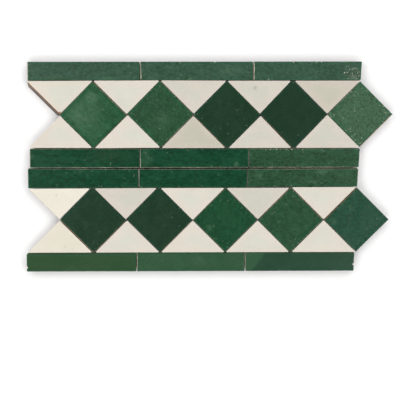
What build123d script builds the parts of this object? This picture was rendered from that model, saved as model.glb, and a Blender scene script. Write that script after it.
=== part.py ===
"""A linear tile border: two courses of hand-cut glazed tiles, laid dry as one flat panel.

Each course has a head row and a foot row of strips, and between them a band of squares set on
their corners with triangles filling the spaces. The left end of a band is a notch and the right
end is the corner of a square, so one panel runs on into the next.

Frame: millimetres, +Z up and out of the glazed faces, +X along the border, +Y from the lower
course to the upper one. The origin is at the middle of the panel's outline, on the plane of the
tiles' backs.
"""

from build123d import *
from math import sqrt
import os

# Tile sizes, measured on the glazed face
THICKNESS = 12.0
SQUARE_SIDE = {"upper": 63.7, "lower": 62.4}
STRIP_WIDTH = {"upper_head": 26.2, "upper_foot": 25.8, "lower_head": 26.4, "lower_foot": 26.4}
# Strips as cut, left to right, in each row
STRIP_LENGTHS = {
    "upper_head": (152.0, 153.0, 145.5),
    "upper_foot": (149.5, 149.0, 149.0),
    "lower_head": (150.0, 148.5, 149.0),
    "lower_foot": (151.5, 148.5, 148.5),
}

# Edges of a hand-cut tile
UNDERCUT = 1.5
SPLAY = 2.6
CORNER_NIP = 1.3
ARRIS_RADIUS = 0.6

# How the tiles are laid: joints between squares and triangles, between a band and its strips,
# between strips end to end, and between the two courses
SQUARES_PER_COURSE = 5
BAND_JOINT = {"upper": 0.2, "lower": 0.8}
STRIP_JOINT = {"upper": 0.8, "lower": 0.6}
END_JOINT = 0.7
COURSE_GAP = 0.8
# Where each strip row and each band starts, along X
ROW_START = {"upper_head": 0.5, "upper_foot": 2.0, "lower_head": -0.5, "lower_foot": -4.0}
BAND_START = {"upper": 0.0, "lower": -2.5}


def moved_sides(corners: list[Vector], insets: list[float]) -> list[Vector]:
    """Corners of an anticlockwise outline whose sides are each moved inwards by their inset.

    Side k runs from corner k to the next one. A negative inset moves a side outwards.
    """
    sides = []
    for k, corner in enumerate(corners):
        along = (corners[(k + 1) % len(corners)] - corner).normalized()
        inward = Vector(-along.Y, along.X)
        sides.append((corner + inward * insets[k], along))
    moved = []
    for k, (point, along) in enumerate(sides):
        before, before_along = sides[k - 1]
        reach = (point - before).cross(along).Z / before_along.cross(along).Z
        moved.append(before + before_along * reach)
    return moved


def nipped(corners: list[Vector]) -> list[Vector]:
    """The same outline with every corner cut off, each cut as wide as the corner nip."""
    cut = []
    for k, corner in enumerate(corners):
        before = (corners[k - 1] - corner).normalized()
        after = (corners[(k + 1) % len(corners)] - corner).normalized()
        reach = CORNER_NIP / (after - before).length
        cut += [corner + before * reach, corner + after * reach]
    return cut


def outline(corners: list[Vector], height: float) -> Sketch:
    """Flat outline with nipped corners, at a height above the plane of the backs."""
    return Pos(0, 0, height) * make_face(Polyline(*nipped(corners), close=True))


def tile(corners: list[Vector], splayed_side: int | None = None) -> Solid:
    """One tile, from its glazed face's corners, anticlockwise.

    The sides lean in towards the back, as a chisel leaves them. A splayed side leans out instead.
    The corners are nipped off, and the edge of the glazed face is rounded over.
    """
    insets = [UNDERCUT] * len(corners)
    if splayed_side is not None:
        insets[splayed_side] = -SPLAY
    back = outline(moved_sides(corners, insets), 0)
    face = outline(corners, THICKNESS)
    body = loft([back, face], ruled=True)
    arris = body.faces().sort_by(Axis.Z)[-1].edges()
    return fillet(arris, ARRIS_RADIUS).solid()


def strip_row(row: str, bottom: float) -> dict[str, Solid]:
    """The strips of one row, end to end, with their lower long side at a height along Y."""
    strips = {}
    left = ROW_START[row]
    top = bottom + STRIP_WIDTH[row]
    for number, length in enumerate(STRIP_LENGTHS[row], 1):
        right = left + length
        strips[f"{row}_strip_{number}"] = tile(
            [Vector(left, bottom), Vector(right, bottom), Vector(right, top), Vector(left, top)]
        )
        left = right + END_JOINT
    return strips


def square(x: float, y: float, reach: float) -> Solid:
    """A square tile standing on its corner, centred on a point, reaching this far to each corner."""
    return tile([Vector(x, y - reach), Vector(x + reach, y), Vector(x, y + reach), Vector(x - reach, y)])


def head_triangle(x: float, y: float, reach: float, splayed: bool) -> Solid:
    """A half square above the band's middle line y, point down at x, its left side splayed or not."""
    left, right, point = Vector(x - reach, y + reach), Vector(x + reach, y + reach), Vector(x, y)
    return tile([point, right, left], splayed_side=2 if splayed else None)


def foot_triangle(x: float, y: float, reach: float) -> Solid:
    """A half square below the band's middle line y, point up at x."""
    return tile([Vector(x - reach, y - reach), Vector(x + reach, y - reach), Vector(x, y)])


def band(course: str, y: float, reach: float) -> dict[str, Solid]:
    """The squares and triangles of one course. The upper course's first tile is cut with a splay."""
    tiles = {}
    pitch = 2 * reach + 2 * sqrt(2) * BAND_JOINT[course]
    for number in range(1, SQUARES_PER_COURSE + 1):
        square_x = BAND_START[course] + number * pitch
        triangle_x = square_x - pitch / 2
        splayed = course == "upper" and number == 1
        tiles[f"{course}_square_{number}"] = square(square_x, y, reach)
        tiles[f"{course}_head_triangle_{number}"] = head_triangle(triangle_x, y, reach, splayed)
        tiles[f"{course}_foot_triangle_{number}"] = foot_triangle(triangle_x, y, reach)
    return tiles


def course_tiles(course: str, bottom: float) -> tuple[dict[str, Solid], float]:
    """The tiles of one course, standing on a height along Y, and the height of its upper edge."""
    reach = SQUARE_SIDE[course] / sqrt(2)
    band_bottom = bottom + STRIP_WIDTH[f"{course}_foot"] + STRIP_JOINT[course]
    head_bottom = band_bottom + 2 * reach + STRIP_JOINT[course]
    tiles = strip_row(f"{course}_foot", bottom)
    tiles |= band(course, band_bottom + reach, reach)
    tiles |= strip_row(f"{course}_head", head_bottom)
    return tiles, head_bottom + STRIP_WIDTH[f"{course}_head"]


def panel() -> dict[str, Solid]:
    """Every tile by name, with the panel's outline centred on the origin."""
    tiles, edge = course_tiles("lower", 0)
    upper, _ = course_tiles("upper", edge + COURSE_GAP)
    tiles |= upper
    middle = Compound(list(tiles.values())).bounding_box().center()
    return {name: Pos(-middle.X, -middle.Y, 0) * one for name, one in tiles.items()}


os.makedirs("parts", exist_ok=True)
for name, one in panel().items():
    export_step(one, f"parts/{name}.step")
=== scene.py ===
"""Looks of a linear tile border: hand-cut glazed tiles, laid dry in two courses as one flat panel.

Every tile is modelled on its own from a flat grid that is cut to its outline, given a rounded
glaze edge, leaning chiselled sides and a flat back, then made uneven and worn as by hand.
"""

import logging
import math
import random
from dataclasses import dataclass, field
from enum import Enum

import bpy
import numpy as np
from mathutils import Matrix, Vector, noise


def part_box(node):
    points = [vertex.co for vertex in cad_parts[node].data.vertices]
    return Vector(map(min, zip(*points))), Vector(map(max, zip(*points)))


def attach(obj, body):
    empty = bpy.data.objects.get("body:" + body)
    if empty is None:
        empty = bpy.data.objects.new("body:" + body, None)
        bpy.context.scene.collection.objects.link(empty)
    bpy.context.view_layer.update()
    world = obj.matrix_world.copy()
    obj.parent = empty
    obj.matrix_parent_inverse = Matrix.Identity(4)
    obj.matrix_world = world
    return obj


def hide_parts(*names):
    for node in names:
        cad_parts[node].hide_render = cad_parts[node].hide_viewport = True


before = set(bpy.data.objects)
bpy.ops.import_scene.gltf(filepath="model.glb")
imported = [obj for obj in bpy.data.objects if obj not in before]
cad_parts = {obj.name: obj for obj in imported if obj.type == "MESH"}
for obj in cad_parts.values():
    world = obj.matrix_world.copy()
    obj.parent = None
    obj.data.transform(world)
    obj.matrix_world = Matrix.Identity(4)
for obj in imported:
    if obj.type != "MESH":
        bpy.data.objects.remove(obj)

log = logging.getLogger("tile_border")

MM = 0.001
TOP = 12.0 * MM
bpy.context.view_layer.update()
# Width of the cut across a corner: on the solids, at least on a square's points, and on a sharp corner
NIP = 1.3 * MM
POINT_NIP = 0.4 * MM
SHARP_NIP = 1.5 * MM
# Light that the gloss adds to every glaze, and how bright the studio makes a matt white
GLOSS_SHARE = 0.0098
STUDIO_LIGHT = 1.12
# The least light that is left to a glaze once its gloss is taken off
DARKEST = 0.002

Tone = tuple[int, int, int]
Colour = tuple[float, float, float]
# Tones of bared clay: reddish by the squares and triangles, pale by the strips
BISCUIT: Tone = (176, 134, 98)
CREAM: Tone = (206, 198, 174)


def linear(tone: Tone) -> Colour:
    """Linear light of a display tone.

    Args:
        tone: Red, green and blue, 0 to 255.

    Returns:
        The three linear values.
    """
    light = []
    for value in tone:
        share = value / 255.0
        light.append(share / 12.92 if share <= 0.04045 else ((share + 0.055) / 1.055) ** 2.4)
    return tuple(light)


def under_gloss(tone: Tone) -> Colour:
    """Linear colour of a glaze that shows the display tone once it is lit and its gloss is on it."""
    return tuple(max(light - GLOSS_SHARE, DARKEST) / STUDIO_LIGHT for light in linear(tone))


@dataclass(frozen=True)
class GlazeFinish:
    """How one firing of glaze looks.

    Attributes:
        label: Name of the material.
        tone: Display tone in the middle of a tile; on the ivory glazes its greyer tone is a painted
            reflection.
        edge: Display tone by the edges, partly where the glaze ran thicker or thinner and partly painted
            light: a painted highlight along the ivory edges and painted joint shade along the green ones.
        fade: How far in from the edge that tone reaches, in millimetres.
        cloud: How strongly it clouds between thin and pooled places.
        size: Size of the clouds, in millimetres.
        streak: How far the brush drew the clouds out, 1 for not at all.
        turn: Direction of the brush, in degrees from the border's length.
        grain: Strength of the fine mottling.
        speckle: Amount of pale pinholes, 0 for none.
        roughness: Roughness of the fired surface.
        biscuit: Tone of the clay where it shows along the edge.
    """

    label: str
    tone: Tone
    edge: Tone
    fade: float = 6.0
    cloud: float = 0.02
    size: float = 5.0
    streak: float = 1.0
    turn: float = 0.0
    grain: float = 0.04
    speckle: float = 0.0
    roughness: float = 0.26
    biscuit: Tone = BISCUIT


@dataclass(frozen=True)
class StripFinish(GlazeFinish):
    """How a firing of glaze looks on the strips, whose clay is paler."""

    fade: float = 4.0
    biscuit: Tone = CREAM


@dataclass(frozen=True)
class IvoryFinish(GlazeFinish):
    """How a firing of ivory glaze looks: almost even, with a warmer tone by the edges that is partly a
    painted highlight, and a greyer middle that is a painted reflection.
    """

    fade: float = 14.0
    size: float = 9.0
    roughness: float = 0.3


class Glaze(Enum):
    """The firings of green and of ivory glaze that the panel is laid from."""

    NIGHT = GlazeFinish("night green glaze", (36, 60, 44), (34, 61, 45), cloud=0.0, grain=0.02, speckle=0.3)
    BOTTLE = GlazeFinish(
        "bottle green glaze", (39, 63, 46), (35, 65, 47), cloud=0.07, streak=1.2, turn=60, grain=0.65,
        speckle=0.4,
    )
    FERN = GlazeFinish(
        "fern green glaze", (52, 92, 64), (40, 85, 57), fade=7, cloud=0.2, size=3, streak=2.2,
        turn=-35, grain=0.6, speckle=0.4,
    )
    LEAF = GlazeFinish(
        "leaf green glaze", (50, 83, 59), (46, 86, 60), fade=8, cloud=0.14, size=3.5, grain=0.75,
        speckle=0.9,
    )
    JADE = GlazeFinish(
        "jade green glaze", (36, 77, 52), (33, 77, 52), fade=7, cloud=0.12, size=3, streak=1.3,
        turn=85, grain=0.85, speckle=0.7,
    )
    SAGE = GlazeFinish(
        "sage green glaze", (67, 98, 73), (55, 94, 68), fade=8, cloud=0.1, size=3, grain=1.15,
        speckle=3.4, roughness=0.3,
    )
    SEA = GlazeFinish("sea green glaze", (40, 78, 59), (38, 78, 57), cloud=0.06, grain=1.0, speckle=0.5)
    PINE = StripFinish(
        "pine green glaze", (30, 71, 49), (29, 73, 50), cloud=0.2, size=3.5, streak=1.9, grain=0.85,
        speckle=0.4,
    )
    MOSS = StripFinish(
        "moss green glaze", (49, 81, 58), (46, 83, 59), cloud=0.14, size=4, streak=1.6, grain=1.0,
        speckle=0.6,
    )
    GREY = StripFinish(
        "grey green glaze", (60, 88, 71), (54, 90, 69), cloud=0.11, size=3.5, streak=1.6, grain=0.75,
        speckle=0.4,
    )
    OLIVE = StripFinish(
        "olive green glaze", (50, 81, 52), (45, 81, 53), cloud=0.04, size=9, streak=2, grain=0.01
    )
    LAUREL = StripFinish("laurel green glaze", (55, 89, 63), (50, 87, 61), cloud=0.06, size=9, grain=0.03)
    TEAL = StripFinish(
        "teal green glaze", (45, 75, 57), (42, 75, 56), cloud=0.03, size=9, streak=1.5, grain=0.01
    )
    CHALK = IvoryFinish("chalk ivory glaze", (238, 233, 216), (241, 234, 219), fade=12)
    MILK = IvoryFinish("milk ivory glaze", (230, 225, 207), (233, 226, 210), fade=12)
    IVORY = IvoryFinish("ivory glaze", (221, 219, 205), (226, 218, 205))
    PARCHMENT = IvoryFinish("parchment ivory glaze", (211, 209, 195), (217, 209, 197))
    SAND = IvoryFinish("sand ivory glaze", (200, 197, 180), (208, 200, 186))

    @property
    def is_green(self) -> bool:
        """Whether this is one of the green glazes."""
        return "green" in self.value.label

    @property
    def slot(self) -> str:
        """The name of the material slot for the glaze."""
        return "green_glaze" if self.is_green else "ivory_glaze"


class NodeBench:
    """Adds and joins the nodes of one material or node group."""

    def __init__(self, tree: bpy.types.NodeTree) -> None:
        """Empties the tree that it is to fill."""
        self.tree = tree
        self.tree.nodes.clear()

    def add(self, kind: str, **settings: object) -> bpy.types.Node:
        """Adds a node.

        Args:
            kind: Blender's name of the node type.
            settings: Properties to set on it.

        Returns:
            The node.
        """
        node = self.tree.nodes.new(kind)
        for name, value in settings.items():
            setattr(node, name, value)
        return node

    def feed(self, socket: bpy.types.NodeSocket, source: object) -> None:
        """Joins another node's output to an input, or sets the input's own value.

        Args:
            socket: The input.
            source: An output socket, a number or a colour.
        """
        if isinstance(source, bpy.types.NodeSocket):
            self.tree.links.new(source, socket)
        elif isinstance(source, tuple) and socket.type == "RGBA":
            socket.default_value = (*source, 1.0)
        else:
            socket.default_value = source

    def group(self, tree: bpy.types.NodeTree, **sources: object) -> bpy.types.Node:
        """Places a node group and feeds its inputs.

        Args:
            tree: The group.
            sources: What feeds each named input.

        Returns:
            The group's node.
        """
        node = self.add("ShaderNodeGroup", node_tree=tree)
        for name, source in sources.items():
            self.feed(node.inputs[name], source)
        return node

    def number(self, operation: str, *terms: object, clamp: bool = False) -> bpy.types.NodeSocket:
        """Works out a number.

        Args:
            operation: Blender's name of the Math operation.
            terms: Its inputs, sockets or numbers.
            clamp: Whether to keep the answer from 0 to 1.

        Returns:
            The answer's socket.
        """
        node = self.add("ShaderNodeMath", operation=operation, use_clamp=clamp)
        for socket, term in zip(node.inputs, terms):
            self.feed(socket, term)
        return node.outputs[0]

    def span(
        self, value: object, low: object, high: object, start: float = 0.0, end: float = 1.0
    ) -> bpy.types.NodeSocket:
        """Maps a number smoothly from one range to another.

        Args:
            value: The number's socket.
            low: Where the first range starts.
            high: Where the first range ends.
            start: What low becomes.
            end: What high becomes.

        Returns:
            The mapped number's socket.
        """
        node = self.add("ShaderNodeMapRange", interpolation_type="SMOOTHSTEP")
        names = ("Value", "From Min", "From Max", "To Min", "To Max")
        for name, term in zip(names, (value, low, high, start, end)):
            self.feed(node.inputs[name], term)
        return node.outputs["Result"]

    def blend(
        self, share: object, first: object, second: object, kind: str = "MIX"
    ) -> bpy.types.NodeSocket:
        """Mixes two colours.

        Args:
            share: How much of the second, a socket or a number.
            first: The first colour.
            second: The second colour.
            kind: Blender's name of the way to mix them.

        Returns:
            The mixed colour's socket.
        """
        node = self.add("ShaderNodeMix", data_type="RGBA", blend_type=kind)
        self.feed(node.inputs["Factor"], share)
        colours = [socket for socket in node.inputs if socket.type == "RGBA"]
        self.feed(colours[0], first)
        self.feed(colours[1], second)
        return next(socket for socket in node.outputs if socket.type == "RGBA")

    def shade(self, colour: object, factor: object) -> bpy.types.NodeSocket:
        """Makes a colour lighter or darker by a factor.

        Args:
            colour: The colour.
            factor: What it is multiplied by, a socket or a number.

        Returns:
            The new colour's socket.
        """
        node = self.add("ShaderNodeVectorMath", operation="SCALE")
        self.feed(node.inputs[0], colour)
        self.feed(node.inputs["Scale"], factor)
        return node.outputs[0]

    def place(self, stretch: object = 1.0, turn: object = 0.0) -> bpy.types.NodeSocket:
        """Object coordinates, drawn out in one direction.

        Args:
            stretch: How far the pattern is drawn out, a socket or a number.
            turn: Angle of that direction from X, in radians, a socket or a number.

        Returns:
            The coordinate's socket.
        """
        where = self.add("ShaderNodeTexCoord").outputs["Object"]
        turned = self.add("ShaderNodeVectorRotate", rotation_type="Z_AXIS", invert=True)
        self.feed(turned.inputs["Vector"], where)
        self.feed(turned.inputs["Angle"], turn)
        parts = self.add("ShaderNodeSeparateXYZ")
        self.feed(parts.inputs[0], turned.outputs[0])
        joined = self.add("ShaderNodeCombineXYZ")
        self.feed(joined.inputs[0], self.number("DIVIDE", parts.outputs[0], stretch))
        self.feed(joined.inputs[1], parts.outputs[1])
        self.feed(joined.inputs[2], parts.outputs[2])
        return joined.outputs[0]

    def noise(
        self, where: object, size: object, detail: float = 3.0, rough: float = 0.55
    ) -> bpy.types.NodeSocket:
        """Cloudy noise from 0 to 1.

        Args:
            where: Coordinate socket.
            size: Size of the clouds in metres, a socket or a number.
            detail: Octaves of finer clouds.
            rough: Strength of the finer clouds.

        Returns:
            The noise's socket.
        """
        node = self.add("ShaderNodeTexNoise", noise_dimensions="3D")
        self.feed(node.inputs["Vector"], where)
        self.feed(node.inputs["Scale"], self.number("DIVIDE", 0.5, size))
        node.inputs["Detail"].default_value = detail
        node.inputs["Roughness"].default_value = rough
        return node.outputs[0]

    def cells(self, where: object, size: float) -> tuple[bpy.types.NodeSocket, bpy.types.NodeSocket]:
        """Scattered points.

        Args:
            where: Coordinate socket.
            size: Spacing of the points, in metres.

        Returns:
            Distance from the nearest point, in spacings, and that point's own number from 0 to 1.
        """
        node = self.add("ShaderNodeTexVoronoi", feature="F1")
        self.feed(node.inputs["Vector"], where)
        node.inputs["Scale"].default_value = 1.0 / size
        own = self.add("ShaderNodeSeparateXYZ")
        self.feed(own.inputs[0], node.outputs["Color"])
        return node.outputs["Distance"], own.outputs[0]

    def attribute(self, name: str) -> bpy.types.NodeSocket:
        """Value of a piece's own attribute."""
        return self.add("ShaderNodeAttribute", attribute_name=name).outputs["Fac"]


class NodeGroups:
    """The effects that several glazes share, each built once as a node group.

    Attributes:
        pool_share: How much of each colour is left where the glaze pooled.
        iron_tone: Tone of a tinge of iron.
        wash_tone: Tone of a painted reflection, a smooth lighter patch on a glaze.
        crest_tone: Tone of the crests of the pitted whorl.
        hollow_tone: Tone of its hollows.
        soil_tone: Tone of a soiled spot.
        flank_tones: Lightest and darkest tone of the clay down an open side.
        joint_dirt_and_shade_tone: Tone of the clay deep in a joint, partly dirt and partly painted shade.
        grit_tone: Tone of the grit in the clay.
        grain_size: Size of the fine mottling.
        mottle_size: Size of the blotches that break a flaw up.
        brush: How far the brush drew those blotches out, and its direction in radians.
        whorl_size: Size of the whorl's wobbles.
        whorl_turns: Angle that the whorl's rings run through from rim to middle, and how far they wobble.
        crest_size: Size of the pieces that its crests are broken into.
        pinhole_pitch: Spacing of the places where a pinhole may be.
        pinhole_edge: Size of the unevenness of a pinhole's outline.
        pinhole_drift: Size of the places with and without pinholes.
        glaze_line: Size of the bays of the line where the glaze ends.
        bitten_size: Size of the bites along a bared edge.
        clay_clouds: Size of the lighter and darker places of the clay.
        grit_size: Size of the grit.
    """

    pool_share: Colour = (0.64, 0.86, 0.82)
    iron_tone: Tone = (38, 64, 40)
    wash_tone: Tone = (60, 97, 68)
    crest_tone: Tone = (164, 172, 148)
    hollow_tone: Tone = (18, 40, 30)
    soil_tone: Tone = (128, 126, 118)
    flank_tones: tuple[Tone, Tone] = ((122, 106, 94), (92, 77, 66))
    joint_dirt_and_shade_tone: Tone = (22, 20, 18)
    grit_tone: Tone = (86, 66, 54)
    grain_size: float = 1.25 * MM
    mottle_size: float = 2.2 * MM
    brush: tuple[float, float] = (1.7, -0.6)
    whorl_size: float = 3.4 * MM
    whorl_turns: tuple[float, float] = (25.0, 6.0)
    crest_size: float = 1.4 * MM
    pinhole_pitch: float = 3.2 * MM
    pinhole_edge: float = 1.0 * MM
    pinhole_drift: float = 9 * MM
    glaze_line: float = 3.0 * MM
    bitten_size: float = 5.0 * MM
    clay_clouds: float = 11 * MM
    grit_size: float = 1.1 * MM

    def __init__(self) -> None:
        """Builds the groups."""
        self.clouds = self.build_clouds()
        self.flaws = self.build_flaws()
        self.pinholes = self.build_pinholes()
        self.bare = self.build_bare()
        self.clay = self.build_clay()

    @staticmethod
    def begin(name: str, inputs: dict[str, str], outputs: dict[str, str]) -> tuple[NodeBench, dict, dict]:
        """Starts a node group.

        Args:
            name: The group's name.
            inputs: Kind of each input, by name.
            outputs: Kind of each output, by name.

        Returns:
            Its bench, the sockets that bring its inputs, and the sockets that take its outputs.
        """
        tree = bpy.data.node_groups.new(name, "ShaderNodeTree")
        for direction, sockets in (("INPUT", inputs), ("OUTPUT", outputs)):
            for label, kind in sockets.items():
                tree.interface.new_socket(name=label, in_out=direction, socket_type=f"NodeSocket{kind}")
        bench = NodeBench(tree)
        entry = bench.add("NodeGroupInput")
        leave = bench.add("NodeGroupOutput")
        return bench, entry.outputs, leave.inputs

    def build_clouds(self) -> bpy.types.NodeTree:
        """Glaze that is lighter where thin and deeper where it pooled, with another tone by the edges that
        is partly painted light.

        Returns:
            The group: a colour and the glaze's thickness, from 0 to 1.
        """
        numbers = ("Fade", "Cloud", "Size", "Streak", "Turn", "Grain")
        bench, given, taken = self.begin(
            "Glaze clouds",
            {"Middle": "Color", "Edge": "Color"} | {name: "Float" for name in numbers},
            {"Color": "Color", "Thickness": "Float"},
        )
        where = bench.place(given["Streak"], given["Turn"])
        broad = bench.noise(where, bench.number("MULTIPLY", given["Size"], 2.6), 2.0)
        near = bench.noise(where, given["Size"], 3.0)
        mixed = bench.number("MULTIPLY_ADD", broad, 0.4, bench.number("MULTIPLY", near, 0.6))
        thick = bench.span(mixed, 0.25, 0.75)
        # The edge tone is partly glaze that ran thicker or thinner and partly painted light: a painted
        # highlight on ivory edges, painted joint shade on green ones, and a painted reflection in the
        # greyer ivory middle.
        shift = bench.number("MULTIPLY", bench.number("SUBTRACT", broad, 0.5), given["Fade"])
        rim = bench.number("MULTIPLY_ADD", shift, 2.0, bench.attribute("rim"))
        inner = bench.span(rim, 0.8, given["Fade"])
        tone = bench.blend(inner, given["Edge"], given["Middle"])
        swing = bench.number("MULTIPLY_ADD", thick, -2.0, 1.0)
        light = bench.number("MULTIPLY_ADD", swing, given["Cloud"], 1.0)
        fine = bench.noise(where, self.grain_size, 2.0, 0.6)
        flicker = bench.number("MULTIPLY_ADD", fine, 2.0, -1.0)
        light = bench.number("MULTIPLY_ADD", flicker, given["Grain"], light)
        bench.feed(taken["Color"], bench.shade(tone, light))
        bench.feed(taken["Thickness"], thick)
        return bench.tree

    def build_flaws(self) -> bpy.types.NodeTree:
        """Places where the glaze is thin, pooled, tinged, pitted or soiled, and a painted reflection on it.

        Returns:
            The group: the glaze's colour with its flaws.
        """
        bench, given, taken = self.begin(
            "Glaze flaws", {"Color": "Color", "Thin": "Color"}, {"Color": "Color"}
        )
        where = bench.place()
        blotches = bench.noise(bench.place(*self.brush), self.mottle_size, 3.0, 0.6)
        mottle = bench.span(blotches, 0.36, 0.62, 0.2, 1.0)
        colour = given["Color"]
        deep = bench.blend(1.0, colour, self.pool_share, "MULTIPLY")
        tints = (
            ("thin", 0.8, mottle, given["Thin"]),
            ("pool", 0.85, mottle, deep),
            ("iron", 0.7, mottle, linear(self.iron_tone)),
            # A painted reflection: a smooth lighter patch that the blotches do not break up.
            ("wash", 0.85, 1.0, under_gloss(self.wash_tone)),
        )
        for name, strength, uneven, tint in tints:
            share = bench.number("MULTIPLY", bench.attribute(name), uneven)
            colour = bench.blend(bench.number("MULTIPLY", share, strength), colour, tint)
        pits = bench.attribute("pits")
        wobble = bench.noise(bench.place(0.6, 0.9), self.whorl_size, 3.0, 0.65)
        turns, sway = self.whorl_turns
        wound = bench.number("MULTIPLY_ADD", wobble, sway, bench.number("MULTIPLY", pits, turns))
        ring = bench.number("SINE", wound)
        inside = bench.span(pits, 0.02, 0.3)
        gaps = bench.span(bench.noise(where, self.crest_size, 3.0), 0.4, 0.58)
        broken = bench.number("MULTIPLY", inside, gaps)
        raised = bench.number("MULTIPLY", bench.span(ring, 0.0, 1.0, 0.0, 0.7), broken)
        hollow = bench.number("MULTIPLY", bench.span(ring, -1.0, -0.1, 0.75, 0.0), inside)
        colour = bench.blend(raised, colour, linear(self.crest_tone))
        colour = bench.blend(hollow, colour, linear(self.hollow_tone))
        soil = bench.number("MULTIPLY", bench.attribute("soil"), bench.number("MULTIPLY", mottle, 0.6))
        bench.feed(taken["Color"], bench.blend(soil, colour, linear(self.soil_tone)))
        return bench.tree

    def build_pinholes(self) -> bpy.types.NodeTree:
        """Pale pinholes where bubbles broke in the glaze, thicker towards a tile's edges.

        Returns:
            The group: a mask.
        """
        bench, given, taken = self.begin("Pinholes", {"Amount": "Float"}, {"Mask": "Float"})
        where = bench.place()
        distance, own = bench.cells(where, self.pinhole_pitch)
        uneven = bench.number("MULTIPLY_ADD", bench.noise(where, self.pinhole_edge, 2.0), 0.6, distance)
        dot = bench.span(uneven, 0.42, 0.64, 1.0, 0.0)
        near_edge = bench.span(bench.attribute("rim"), 1.0, 9.0, 0.5, 0.1)
        drift = bench.span(bench.noise(where, self.pinhole_drift, 2.0), 0.38, 0.6)
        chance = bench.number("MULTIPLY", bench.number("MULTIPLY", near_edge, given["Amount"]), drift)
        chosen = bench.number("LESS_THAN", own, chance)
        bench.feed(taken["Mask"], bench.number("MULTIPLY", dot, chosen))
        return bench.tree

    def build_bare(self) -> bpy.types.NodeTree:
        """Where the fired clay shows: below the glaze line, along bared edges, and in chips.

        Returns:
            The group: a mask.
        """
        bench, _, taken = self.begin("Bare clay", {}, {"Mask": "Float"})
        where = bench.place()
        rim = bench.attribute("rim")
        bared = bench.attribute("bared")
        ragged = bench.noise(where, self.glaze_line, 3.0)
        side = bench.span(bench.number("MULTIPLY_ADD", ragged, 3.0, rim), -1.4, -0.6, 1.0, 0.0)
        bitten = bench.span(bench.noise(where, self.bitten_size, 4.0, 0.65), 0.3, 0.62, 0.55, 1.0)
        reach = bench.number("MULTIPLY", bitten, bared)
        edge = bench.span(bench.number("SUBTRACT", rim, reach), -0.3, 0.05, 1.0, 0.0)
        edge = bench.number("MULTIPLY", edge, bench.span(bared, 0.05, 0.3))
        chip = bench.span(bench.number("MULTIPLY_ADD", ragged, 0.5, bench.attribute("chip")), 0.6, 0.8)
        bench.feed(taken["Mask"], bench.number("MAXIMUM", side, bench.number("MAXIMUM", edge, chip)))
        return bench.tree

    def build_clay(self) -> bpy.types.NodeTree:
        """Fired clay: pale biscuit where it was bared by the edge, greyish brown down the sides.

        The sides that stand in a joint darken, partly with dirt and partly with painted shade, from deeper
        down where more clay is bare.

        Returns:
            The group: a colour.
        """
        bench, given, taken = self.begin("Fired clay", {"Biscuit": "Color"}, {"Color": "Color"})
        where = bench.place()
        tone = bench.span(bench.noise(where, self.clay_clouds, 3.0), 0.35, 0.65)
        grit = bench.span(bench.noise(where, self.grit_size, 2.0), 0.55, 0.75, 0.0, 0.5)
        biscuit = bench.shade(given["Biscuit"], bench.span(tone, 0.0, 1.0, 1.0, 0.6))
        light, dark = self.flank_tones
        flank = bench.blend(tone, linear(light), linear(dark))
        rim, joint = bench.attribute("rim"), bench.attribute("joint")
        open_side = bench.blend(bench.span(rim, -1.6, -0.2, 1.0, 0.0), biscuit, flank)
        # Painted shade, with some dirt: the clay of a side in a joint turns near black below the edge.
        spared = bench.number("SUBTRACT", bench.attribute("bared"), 0.7, clamp=True)
        shifted = bench.number("MULTIPLY_ADD", spared, 2.2, rim)
        dirt_and_shade = bench.span(shifted, -0.6, 0.05, 1.0, 0.0)
        joint_side = bench.blend(dirt_and_shade, biscuit, linear(self.joint_dirt_and_shade_tone))
        body = bench.blend(joint, open_side, joint_side)
        bench.feed(taken["Color"], bench.blend(grit, body, linear(self.grit_tone)))
        return bench.tree


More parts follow.
